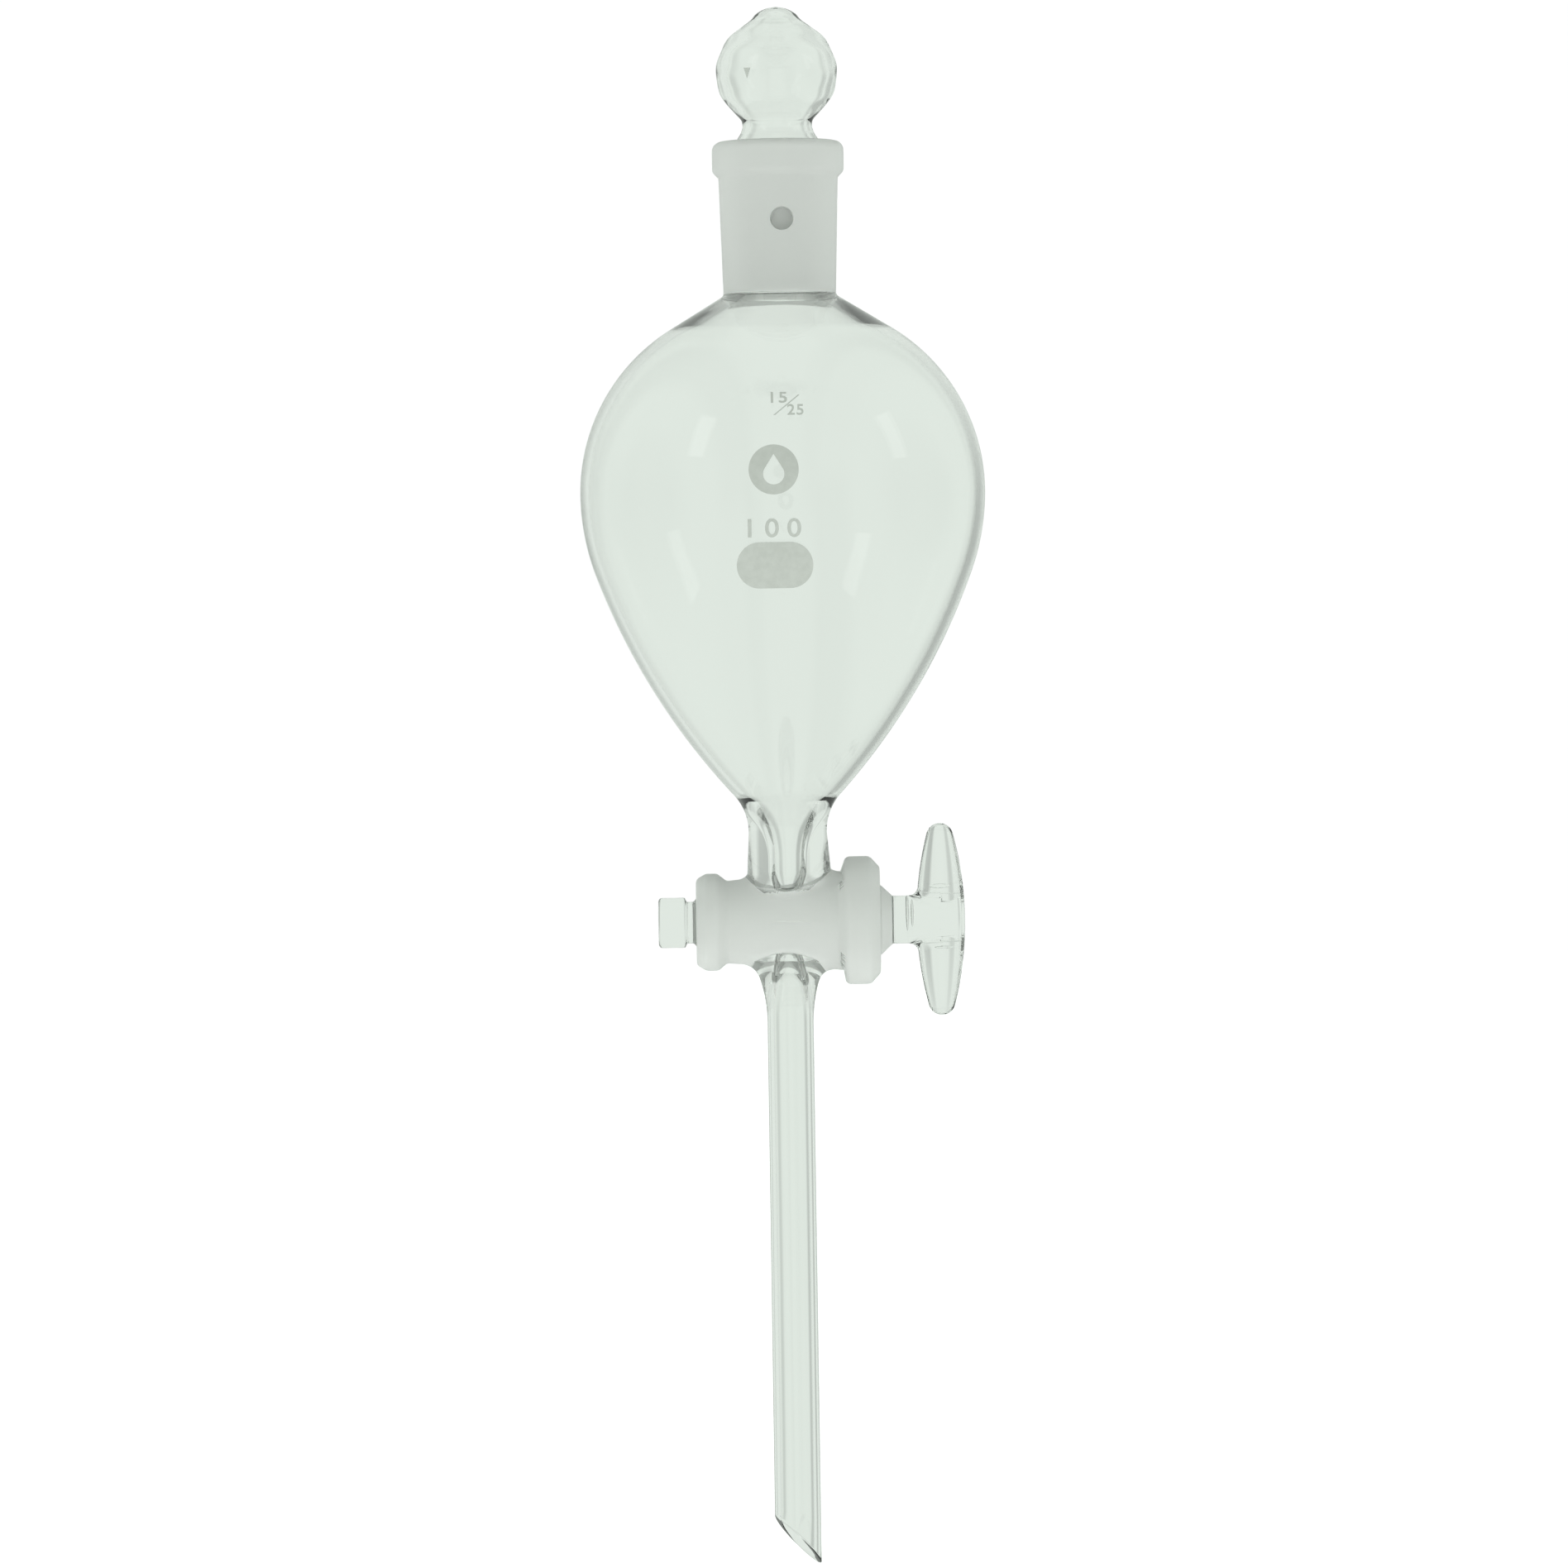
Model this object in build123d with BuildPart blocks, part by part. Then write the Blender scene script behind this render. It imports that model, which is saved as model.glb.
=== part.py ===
"""A 100 mL pear-shaped separatory funnel: a flame-fused glass body with a ground 15/25 socket, a bulb,
an outlet tube, a ground stopcock barrel and a bevelled drip stem; a hollow ground stopper; a ground
stopcock plug with a T-handle; and the enamel marks fired on the glass. Millimetres, +Z up, the T-handle
towards +X, the marks towards -Y. The origin is on the bulb's axis, level with the ring that carries it."""

import os
from math import acos, cos, pi, radians, sin, sqrt

from build123d import *

# ---- driving dimensions -------------------------------------------------------------------------
# Standard taper 15/25 joint: 15 mm across the mouth, 25 mm long, narrowing 1 in 10.
taper = 0.05  # radius lost per millimetre of length
joint_length = 25.0
mouth_r = 7.5
ground_gap = 0.03  # radial clearance between ground faces, so that they turn and lift
socket_top_r = 9.7
socket_foot_r = 9.14
rim_r = 10.7
rim_height = 5.0
vent_r = 1.65
vent_depth = 13.0  # below the rim
vent_x = 0.5

# Bulb outline: three circles that run into each other, then a hollow sweep into the outlet tube.
ring_r = 25.0  # where the support ring touches
equator_drop = 57.0  # widest level below the rim
bulb_r = 32.9
crown_r = 31.15
belly_r = 38.0
belly_angle = 20.0  # degrees below the equator where the belly ends
cheek_r = 108.0
tube_r = 6.35
tube_sweep_r = 9.0
wall = 1.4

# Inside of the shoulder and of the throat.
lip_r = 6.6
lip_round = 1.2
inner_shoulder_angle = 62.0
throat_sweep_r = 14.0
throat_r = 2.2

# Stopcock barrel, along X.
barrel_drop = 126.7  # axis below the rim
barrel_left = -15.05
barrel_right = 14.8
barrel_body_left_r = 6.7
barrel_body_right_r = 8.0
small_bead_r = 7.9
large_bead_r = 10.4
bore_mid_r = 4.9
port_r = 1.7

# Drip stem.
stem_r = 3.75
stem_bore_r = 2.7
flare_drop = 143.0  # where the flare has run out, below the rim
flare_sweep_r = 22.0
stem_short_drop = 223.3
stem_long_drop = 231.3
bevel_turn = 19.0  # degrees the bevel faces round from -X towards -Y

# Stopper.
cone_depth = 24.2
cone_wall = 1.3
waist_rise = 2.6
waist_r = 5.65
waist_bore_r = 4.15
groove_turn = -28.7  # degrees from the front towards -X
groove_r = 1.25
groove_depth = 0.8

# Stopcock plug.
tail_end_x = -21.2
tail_r = 4.08
tail_groove_r = 3.4
shank_r = 3.9
cross_bore_r = 1.25
bar_x = 24.65
bar_half_length = 15.6
bar_half_width = 3.95
bar_tip_r = 2.2

# Enamel.
enamel_gap = 0.02
enamel_thickness = 0.08
marks_x = -1.4
joint_mark_x = 0.6

# ---- levels and outline points that follow ------------------------------------------------------
belly_centre_r = bulb_r - belly_r
step = cheek_r - belly_r
cheek_centre_r = belly_centre_r - step * cos(radians(belly_angle))
cheek_rise = step * sin(radians(belly_angle))  # of the cheek's centre above the equator
ring_drop = equator_drop - cheek_rise + sqrt(cheek_r**2 - (ring_r - cheek_centre_r) ** 2)

rim_z = ring_drop
seam_z = rim_z - joint_length
equator_z = rim_z - equator_drop
barrel_z = rim_z - barrel_drop
flare_z = rim_z - flare_drop
short_z = rim_z - stem_short_drop
long_z = rim_z - stem_long_drop
cheek_z = equator_z + cheek_rise
seam_bore_r = mouth_r - taper * joint_length

crown_centre = (bulb_r - crown_r, equator_z)
belly_centre = (belly_centre_r, equator_z)
cheek_centre = (cheek_centre_r, cheek_z)


def polar(centre, radius, degrees_up):
    """The point of a circle at an angle above the outward direction."""
    angle = radians(degrees_up)
    return (centre[0] + radius * cos(angle), centre[1] + radius * sin(angle))


def sweep_angle(cheek, sweep, foot_r):
    """Degrees below the outward direction where the cheek hands over to a hollow sweep."""
    return acos((foot_r + sweep - cheek_centre_r) / (cheek + sweep)) * 180 / pi


outer_end = sweep_angle(cheek_r, tube_sweep_r, tube_r)
tube_z = polar(cheek_centre, cheek_r + tube_sweep_r, -outer_end)[1]
inner_end = sweep_angle(cheek_r - wall, throat_sweep_r, throat_r)
throat_centre = polar(cheek_centre, cheek_r - wall + throat_sweep_r, -inner_end)
tube_seam_bore_r = throat_centre[0] - sqrt(throat_sweep_r**2 - (tube_z - throat_centre[1]) ** 2)
tube_seam_angle = acos((throat_centre[0] - tube_seam_bore_r) / throat_sweep_r) * 180 / pi

# The shoulder is a straight cone from the socket's foot that touches the crown circle.
foot_away = sqrt((socket_foot_r - crown_centre[0]) ** 2 + (seam_z - equator_z) ** 2)
foot_angle = acos((socket_foot_r - crown_centre[0]) / foot_away) * 180 / pi
shoulder_angle = foot_angle - acos(crown_r / foot_away) * 180 / pi
lip_centre_r = lip_r + lip_round
lip_turn = radians(inner_shoulder_angle)
lip_away = crown_r - wall + lip_round - (lip_centre_r - crown_centre[0]) * cos(lip_turn)
lip_centre = (lip_centre_r, equator_z + lip_away / sin(lip_turn))

side = Plane.XZ
barrel_plane = Plane(origin=(0, 0, barrel_z), x_dir=(1, 0, 0), z_dir=(0, -1, 0))
barrel_axis = Axis((0, 0, barrel_z), (1, 0, 0))


def bore_r(x):
    """Radius of the barrel's ground bore at x."""
    return bore_mid_r + taper * x


# ---- ground socket ------------------------------------------------------------------------------
with BuildPart() as joint_socket:
    with BuildSketch(side) as socket_outline:
        with BuildLine():
            Polyline(
                (seam_bore_r, seam_z),
                (socket_foot_r, seam_z),
                (socket_top_r, rim_z - rim_height - 0.8),
                (rim_r, rim_z - rim_height),
                (rim_r, rim_z),
                (mouth_r, rim_z),
                close=True,
            )
        make_face()
        edge_points = socket_outline.vertices().filter_by(lambda v: abs(v.X - rim_r) < 0.01)
        fillet(edge_points, 1.2)
    revolve(axis=Axis.Z)
    with BuildSketch(side.offset(rim_r + 1)):
        with Locations((vent_x, rim_z - vent_depth)):
            Circle(vent_r)
    extrude(amount=-rim_r - 1, mode=Mode.SUBTRACT)
joint_socket.part.label = "joint_socket"

# ---- bulb ---------------------------------------------------------------------------------------
with BuildPart() as bulb:
    with BuildSketch(side):
        with BuildLine():
            # outside, from the socket down to the outlet tube
            Line((socket_foot_r, seam_z), polar(crown_centre, crown_r, shoulder_angle))
            CenterArc(crown_centre, crown_r, 0, shoulder_angle)
            CenterArc(belly_centre, belly_r, -belly_angle, belly_angle)
            CenterArc(cheek_centre, cheek_r, -outer_end, outer_end - belly_angle)
            CenterArc((tube_r + tube_sweep_r, tube_z), tube_sweep_r, 180 - outer_end, outer_end)
            Line((tube_r, tube_z), (tube_seam_bore_r, tube_z))
            # inside, back up
            CenterArc(throat_centre, throat_sweep_r, 180 - inner_end, inner_end - tube_seam_angle)
            CenterArc(cheek_centre, cheek_r - wall, -inner_end, inner_end - belly_angle)
            CenterArc(belly_centre, belly_r - wall, -belly_angle, belly_angle)
            CenterArc(crown_centre, crown_r - wall, 0, inner_shoulder_angle)
            Line(
                polar(crown_centre, crown_r - wall, inner_shoulder_angle),
                polar(lip_centre, lip_round, 180 + inner_shoulder_angle),
            )
            CenterArc(lip_centre, lip_round, 180, inner_shoulder_angle)
            Line((lip_r, lip_centre[1]), (seam_bore_r, seam_z))
            Line((seam_bore_r, seam_z), (socket_foot_r, seam_z))
        make_face()
    revolve(axis=Axis.Z)
bulb.part.label = "bulb"

# ---- stopcock barrel ----------------------------------------------------------------------------
# The barrel as a solid bar, from which the two arms' saddles are cut as well.
with BuildPart() as barrel_bar:
    with BuildSketch(barrel_plane) as bar_outline:
        with BuildLine():
            Polyline(
                (barrel_left, 0),
                (barrel_left, 6.6),
                (barrel_left + 1.3, small_bead_r),
                (-11.6, small_bead_r),
                (-10.1, barrel_body_left_r),
                (8.0, barrel_body_right_r),
                (9.9, large_bead_r),
                (13.4, large_bead_r),
                (barrel_right, 8.8),
                (barrel_right, 0),
                close=True,
            )
        make_face()
        rounded = bar_outline.vertices().filter_by(lambda v: v.Z > barrel_z + 6.6)
        fillet(rounded, 0.6)
    revolve(axis=barrel_axis)

with BuildPart() as stopcock_barrel:
    add(barrel_bar.part)
    with BuildSketch(barrel_plane):
        with BuildLine():
            Polyline(
                (barrel_left - 1, 0),
                (barrel_left - 1, bore_r(barrel_left - 1)),
                (barrel_right + 1, bore_r(barrel_right + 1)),
                (barrel_right + 1, 0),
                close=True,
            )
        make_face()
    revolve(axis=barrel_axis, mode=Mode.SUBTRACT)
    with BuildSketch(Plane.XY.offset(barrel_z)):
        Circle(port_r)
    extrude(amount=12, both=True, mode=Mode.SUBTRACT)
stopcock_barrel.part.label = "stopcock_barrel"

# ---- outlet tube and drip stem ------------------------------------------------------------------
with BuildPart() as outlet_tube:
    with BuildSketch(side):
        with BuildLine():
            foot_z = barrel_z + 4.0
            Polyline(
                (port_r, barrel_z),
                (tube_r + 0.6, barrel_z),
                (tube_r + 0.6, foot_z),
                (tube_r, foot_z + 3.4),
                (tube_r, tube_z),
                (tube_seam_bore_r, tube_z),
            )
            CenterArc(throat_centre, throat_sweep_r, 180 - tube_seam_angle, tube_seam_angle)
            Polyline((throat_r, throat_centre[1]), (throat_r, barrel_z), (port_r, barrel_z))
        make_face()
    revolve(axis=Axis.Z)
    add(barrel_bar.part, mode=Mode.SUBTRACT)
outlet_tube.part.label = "outlet_tube"

flare_top_z = barrel_z - 7.2
flare_top_r = stem_r + flare_sweep_r - sqrt(flare_sweep_r**2 - (flare_top_z - flare_z) ** 2)
bevel_slope = (stem_long_drop - stem_short_drop) / (2 * stem_r)
with BuildPart() as drip_stem:
    with BuildSketch(side):
        with BuildLine():
            Polyline(
                (port_r, barrel_z),
                (flare_top_r, barrel_z),
                (flare_top_r, flare_top_z),
            )
            sweep_turn = acos((stem_r + flare_sweep_r - flare_top_r) / flare_sweep_r) * 180 / pi
            CenterArc((stem_r + flare_sweep_r, flare_z), flare_sweep_r, 180 - sweep_turn, sweep_turn)
            Polyline(
                (stem_r, flare_z),
                (stem_r, long_z),
                (stem_bore_r, long_z),
                (stem_bore_r, flare_z + 0.5),
                (port_r, barrel_z - 5.5),
                (port_r, barrel_z),
            )
        make_face()
    revolve(axis=Axis.Z)
    add(barrel_bar.part, mode=Mode.SUBTRACT)
    bevel_x, bevel_y = cos(radians(bevel_turn)), sin(radians(bevel_turn))
    bevel = Plane(
        origin=(0, 0, (short_z + long_z) / 2),
        x_dir=(-bevel_y, bevel_x, 0),
        z_dir=(bevel_slope * bevel_x, bevel_slope * bevel_y, 1),
    )
    split(bisect_by=bevel, keep=Keep.TOP)
drip_stem.part.label = "drip_stem"


# ---- stopper ------------------------------------------------------------------------------------
def cone_r(z):
    """Outside radius of the stopper's ground cone at height z."""
    return mouth_r - ground_gap - taper * (rim_z - z)


cone_top_z = rim_z - 1.0
cone_foot_z = rim_z - cone_depth
waist_z = rim_z + waist_rise
turn = radians(groove_turn)
groove_way = (sin(turn), -cos(turn))
with BuildPart() as stopper_cone:
    with BuildSketch(side) as cone_outline:
        with BuildLine():
            Polyline(
                (0, cone_foot_z),
                (cone_r(cone_foot_z), cone_foot_z),
                (cone_r(cone_top_z), cone_top_z),
                (6.6, rim_z + 0.3),
                (waist_r, waist_z),
                (waist_bore_r, waist_z),
                (cone_r(cone_top_z) - cone_wall - 0.5, cone_top_z - 1.5),
                (cone_r(cone_foot_z) - cone_wall, cone_foot_z + cone_wall),
                (0, cone_foot_z + cone_wall),
                close=True,
            )
        make_face()
        outer_foot = cone_r(cone_foot_z)
        corners = cone_outline.vertices()
        fillet(corners.filter_by(lambda v: abs(v.X - outer_foot) < 0.01), 2.2)
        inner_corners = cone_outline.vertices()
        fillet(inner_corners.filter_by(lambda v: abs(v.X - outer_foot + cone_wall) < 0.01), 1.6)
        waist_corners = cone_outline.vertices()
        fillet(waist_corners.filter_by(lambda v: abs(v.Z - rim_z - 0.3) < 0.01), 1.5)
    revolve(axis=Axis.Z)
    groove_top_z = rim_z - vent_depth + vent_r
    groove_axis_r = cone_r(groove_top_z) + groove_r - groove_depth
    groove_top = (groove_way[0] * groove_axis_r, groove_way[1] * groove_axis_r, groove_top_z)
    groove_fall = (-taper * groove_way[0], -taper * groove_way[1], -1)
    with BuildSketch(Plane(origin=groove_top, z_dir=groove_fall)):
        Circle(groove_r)
    extrude(amount=cone_depth, mode=Mode.SUBTRACT)
stopper_cone.part.label = "stopper_cone"

# Radius at each height above the rim, from the waist to the rounded tip.
head_outline = (
    (waist_r, waist_rise),
    (7.7, 5.5),
    (9.5, 8.7),
    (9.85, 11.5),
    (8.3, 16.0),
    (5.9, 18.4),
    (3.4, 20.6),
    (0, 21.9),
)
# The cavity follows the outside up into the tip.
cavity_outline = (
    (waist_bore_r, waist_rise),
    (6.1, 5.9),
    (8.0, 8.9),
    (8.2, 11.4),
    (6.6, 15.3),
    (4.3, 17.7),
    (2.2, 19.5),
    (0, 20.4),
)


def turned_outline(outline):
    """A smooth curve through an outline that starts upright at the waist and ends level on the axis."""
    points = [(r, rim_z + height) for r, height in outline]
    return Spline(*points, tangents=[(0, 1), (-1, 0)])


with BuildPart() as stopper_head:
    with BuildSketch(side):
        with BuildLine():
            turned_outline(head_outline)
            turned_outline(cavity_outline)
            Line((waist_r, waist_z), (waist_bore_r, waist_z))
            Line((0, rim_z + cavity_outline[-1][1]), (0, rim_z + head_outline[-1][1]))
        make_face()
    revolve(axis=Axis.Z)
stopper_head.part.label = "stopper_head"

# ---- stopcock plug ------------------------------------------------------------------------------
key_small_x = barrel_left + 0.05
key_large_x = barrel_right + 0.2
handle_seam_x = 19.2
with BuildPart() as plug_cone:
    with BuildSketch(barrel_plane) as plug_outline:
        with BuildLine():
            Polyline(
                (tail_end_x, 0),
                (tail_end_x, tail_r),
                (-16.9, tail_r),
                (-16.7, tail_groove_r),
                (key_small_x - 0.4, tail_groove_r),
                (key_small_x, bore_r(key_small_x) - ground_gap),
                (key_large_x, bore_r(key_large_x) - ground_gap),
                (16.8, shank_r),
                (handle_seam_x, shank_r),
                (handle_seam_x, 0),
                close=True,
            )
        make_face()
        knob = plug_outline.vertices().filter_by(lambda v: v.X < -16.8 and v.Z > barrel_z + 4)
        fillet(knob, 0.3)
    revolve(axis=barrel_axis)
    with BuildSketch(Plane.XY.offset(barrel_z)):
        Circle(cross_bore_r)
    extrude(amount=8, both=True, mode=Mode.SUBTRACT)
plug_cone.part.label = "plug_cone"

# A shank and a spindle-shaped bar across it.
with BuildPart() as plug_handle:
    with BuildSketch(Plane.YZ.offset(handle_seam_x)):
        with Locations((0, barrel_z)):
            Circle(shank_r)
    extrude(amount=bar_x - handle_seam_x)
    with BuildSketch(Plane(origin=(bar_x, 0, barrel_z), x_dir=(1, 0, 0), z_dir=(0, -1, 0))):
        with BuildLine():
            tip_rise = bar_half_length - bar_tip_r
            bow = bar_half_width - bar_tip_r
            side_r = (bow**2 + tip_rise**2) / (2 * bow) + bar_tip_r
            side_x = bar_half_width - side_r
            lean = acos(-side_x / (side_r - bar_tip_r)) * 180 / pi
            CenterArc((side_x, 0), side_r, -lean, 2 * lean)
            CenterArc((0, tip_rise), bar_tip_r, lean, 90 - lean)
            CenterArc((0, -tip_rise), bar_tip_r, -90, 90 - lean)
            Line((0, bar_half_length), (0, -bar_half_length))
        make_face()
    revolve(axis=Axis((bar_x, 0, barrel_z), (0, 0, 1)))
    root = plug_handle.edges().filter_by(
        lambda e: e.geom_type not in (GeomType.CIRCLE, GeomType.LINE)
        and handle_seam_x + 0.3 < e.center().X < bar_x
    )
    fillet(root, 0.8)
plug_handle.part.label = "plug_handle"


# ---- enamel -------------------------------------------------------------------------------------
# Each mark is cut out of a thin skin that follows the bulb's outline.
skin_top = 60.0
skin_foot = 30.0
with BuildPart() as bulb_skin:
    with BuildSketch(side):
        with BuildLine():
            skin_offsets = (enamel_gap, enamel_gap + enamel_thickness)
            for grow in skin_offsets:
                CenterArc(crown_centre, crown_r + grow, 0, skin_top)
                CenterArc(belly_centre, belly_r + grow, -belly_angle, belly_angle)
                CenterArc(cheek_centre, cheek_r + grow, -skin_foot, skin_foot - belly_angle)
            Line(*[polar(crown_centre, crown_r + grow, skin_top) for grow in skin_offsets])
            Line(*[polar(cheek_centre, cheek_r + grow, -skin_foot) for grow in skin_offsets])
        make_face()
    revolve(axis=Axis.Z)

mark_plane = side.offset(bulb_r + 5)
with BuildPart() as writing_patch:
    with BuildSketch(mark_plane):
        with Locations((marks_x, rim_z - 69.5)):
            SlotOverall(12.2, 7.3)
    extrude(amount=-bulb_r)
    add(bulb_skin.part, mode=Mode.INTERSECT)
writing_patch.part.label = "writing_patch"

with BuildPart() as emblem:
    with BuildSketch(mark_plane):
        with Locations((marks_x, rim_z - 54.3)):
            Circle(4.0)
            Circle(1.7, mode=Mode.SUBTRACT)
    extrude(amount=-bulb_r)
    add(bulb_skin.part, mode=Mode.INTERSECT)
emblem.part.label = "emblem"

# Numerals drawn with one pen stroke each, in a box one unit wide and two high.
strokes = {
    "0": ((0.5, 0), (1, 0.5), (1, 1.5), (0.5, 2), (0, 1.5), (0, 0.5), (0.5, 0)),
    "1": ((0.1, 1.5), (0.6, 2), (0.6, 0)),
    "2": ((0, 1.6), (0.4, 2), (1, 1.6), (0, 0), (1, 0)),
    "5": ((1, 2), (0.1, 2), (0, 1.1), (0.7, 1.2), (1, 0.6), (0.6, 0), (0, 0.1)),
    "/": ((0, 0), (0.8, 2)),
}


def stroke_text(text, centre_x, centre_z, height, pitch, pen):
    """Adds a row of numerals to the sketch, about a centre."""
    unit = height / 2
    left = centre_x - (len(text) - 1) * pitch / 2 - unit / 2
    for place, sign in enumerate(text):
        with BuildLine() as path:
            corner = (left + place * pitch, centre_z - unit)
            Polyline(*[(corner[0] + x * unit, corner[1] + y * unit) for x, y in strokes[sign]])
        trace(path.line, line_width=pen)


with BuildPart() as capacity_mark:
    with BuildSketch(mark_plane):
        stroke_text("100", marks_x, rim_z - 63.6, 2.7, 3.0, 0.5)
    extrude(amount=-bulb_r)
    add(bulb_skin.part, mode=Mode.INTERSECT)
capacity_mark.part.label = "capacity_mark"

with BuildPart() as joint_mark:
    with BuildSketch(mark_plane):
        stroke_text("15/25", joint_mark_x, rim_z - 43.8, 2.4, 1.8, 0.4)
    extrude(amount=-bulb_r)
    add(bulb_skin.part, mode=Mode.INTERSECT)
joint_mark.part.label = "joint_mark"

# A small triangle on the stopper's head, over the cone's groove.
vent_mark_z = rim_z + 10.6
vent_mark_r = 9.9
with BuildPart() as vent_mark:
    with BuildSketch(Plane.XY.offset(vent_mark_z - 0.85)):
        Circle(vent_mark_r + enamel_thickness)
        Circle(vent_mark_r, mode=Mode.SUBTRACT)
    extrude(amount=1.7)
    mark_face = Plane(origin=(0, 0, vent_mark_z), x_dir=(cos(turn), sin(turn), 0), z_dir=(*groove_way, 0))
    with BuildSketch(mark_face):
        Polygon((-0.6, 0.85), (0, -0.85), (0.6, 0.85), align=None)
    extrude(amount=bulb_r, mode=Mode.INTERSECT)
vent_mark.part.label = "vent_mark"

os.makedirs("parts", exist_ok=True)
glass = (joint_socket, bulb, outlet_tube, stopcock_barrel, drip_stem)
stopper = (stopper_cone, stopper_head)
plug = (plug_cone, plug_handle)
marks = (writing_patch, emblem, capacity_mark, joint_mark, vent_mark)
for node in (*glass, *stopper, *plug, *marks):
    export_step(node.part, f"parts/{node.part.label}.step")
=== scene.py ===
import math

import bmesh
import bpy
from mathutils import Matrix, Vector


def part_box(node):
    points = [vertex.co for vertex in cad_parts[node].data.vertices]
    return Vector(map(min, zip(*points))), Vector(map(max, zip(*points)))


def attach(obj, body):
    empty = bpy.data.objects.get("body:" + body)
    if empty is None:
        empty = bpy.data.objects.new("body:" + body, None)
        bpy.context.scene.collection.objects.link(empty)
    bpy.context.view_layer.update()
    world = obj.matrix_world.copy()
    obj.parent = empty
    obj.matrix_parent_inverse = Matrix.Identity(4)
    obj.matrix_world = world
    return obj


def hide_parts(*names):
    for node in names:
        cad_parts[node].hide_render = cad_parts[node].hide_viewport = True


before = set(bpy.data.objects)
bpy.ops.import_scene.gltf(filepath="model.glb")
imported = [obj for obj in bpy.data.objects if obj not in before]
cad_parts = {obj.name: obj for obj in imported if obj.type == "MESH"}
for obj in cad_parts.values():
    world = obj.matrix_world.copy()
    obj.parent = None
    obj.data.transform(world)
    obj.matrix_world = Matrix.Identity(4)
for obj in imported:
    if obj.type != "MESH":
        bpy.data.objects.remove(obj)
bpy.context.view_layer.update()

# A 100 mL pear-shaped separatory funnel in clear glass. The fused body, the hollow stopper and the
# stopcock plug are each one closed glass mesh, so that no weld shows as a surface inside the glass.
# Metres, in the frame's axes: +Z up, the T-handle towards +X, the marks towards -Y.

MM = 0.001

# ---- sizes --------------------------------------------------------------------------------------
# Levels come from the CAD boxes. The rest are the outline's own sizes.
socket_low, socket_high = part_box("joint_socket")
bulb_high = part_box("bulb")[1]
barrel_low, barrel_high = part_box("stopcock_barrel")
stem_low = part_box("drip_stem")[0]
key_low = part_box("plug_cone")[0]
handle_low, handle_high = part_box("plug_handle")

rim_z = socket_high[2]
seam_z = socket_low[2]
rim_r = socket_high[0]
bulb_r = bulb_high[0]
tip_z = stem_low[2]
barrel_z = (barrel_low[2] + barrel_high[2]) / 2
EQUATOR_DROP = 57 * MM
equator_z = rim_z - EQUATOR_DROP

TAPER = 0.05
MOUTH_R = 7.5 * MM
GROUND_GAP = 0.03 * MM
SOCKET_TOP_R = 9.7 * MM
SOCKET_FOOT_R = 9.14 * MM
CROWN_R = 31.15 * MM
BELLY_R = 38 * MM
BELLY_ANGLE = 20
CHEEK_R = 108 * MM
TUBE_R = 6.35 * MM
TUBE_SWEEP_R = 9 * MM
WALL = 1.4 * MM
LIP_R = 6.4 * MM
LIP_ROUND = 0.6 * MM
INNER_SHOULDER_ANGLE = 60.5
THROAT_SWEEP_R = 14 * MM
THROAT_R = 2.2 * MM
PORT_R = 1.7 * MM
BORE_MID_R = 4.9 * MM
STEM_R = 3.75 * MM
STEM_BORE_R = 2.7 * MM
STEM_SHORT_RISE = 8 * MM
BEVEL_TURN = math.radians(19)
SEGMENTS = 144


# ---- outlines -----------------------------------------------------------------------------------
def arc(centre, radius, start, end, step=3.0):
    """Points of a circle from one angle to another, in degrees above the outward direction."""
    count = max(2, math.ceil(abs(end - start) / step) + 1)
    points = []
    for index in range(count):
        angle = math.radians(start + (end - start) * index / (count - 1))
        points.append((centre[0] + radius * math.cos(angle), centre[1] + radius * math.sin(angle)))
    return points


def rounded(corners):
    """A polyline through (a, b, radius) corners, each rounded with its own radius."""
    points = []
    for index, (a, b, radius) in enumerate(corners):
        here = Vector((a, b))
        if radius <= 0 or index in (0, len(corners) - 1):
            points.append((a, b))
            continue
        back = (Vector(corners[index - 1][:2]) - here).normalized()
        ahead = (Vector(corners[index + 1][:2]) - here).normalized()
        turn = math.pi - back.angle(ahead)
        reach = radius * math.tan(turn / 2)
        centre = here + (back + ahead).normalized() * radius / math.cos(turn / 2)
        first = here + back * reach - centre
        count = max(3, math.ceil(math.degrees(turn) / 10) + 1)
        sign = 1 if first.x * (ahead.y - back.y) - first.y * (ahead.x - back.x) > 0 else -1
        for part in range(count):
            angle = sign * turn * part / (count - 1)
            spun = Vector((
                first.x * math.cos(angle) - first.y * math.sin(angle),
                first.x * math.sin(angle) + first.y * math.cos(angle),
            ))
            points.append(tuple(centre + spun))
    return points


def smooth(points, steps=8):
    """A Catmull-Rom curve through the points."""
    ends = [points[0], *points, points[-1]]
    out = []
    for index in range(1, len(ends) - 2):
        p0, p1, p2, p3 = (Vector(p) for p in ends[index - 1:index + 3])
        for part in range(steps):
            t = part / steps
            out.append(tuple(0.5 * (
                2 * p1 + (p2 - p0) * t + (2 * p0 - 5 * p1 + 4 * p2 - p3) * t**2
                + (3 * p1 - p0 - 3 * p2 + p3) * t**3
            )))
    out.append(tuple(points[-1]))
    return out


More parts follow.
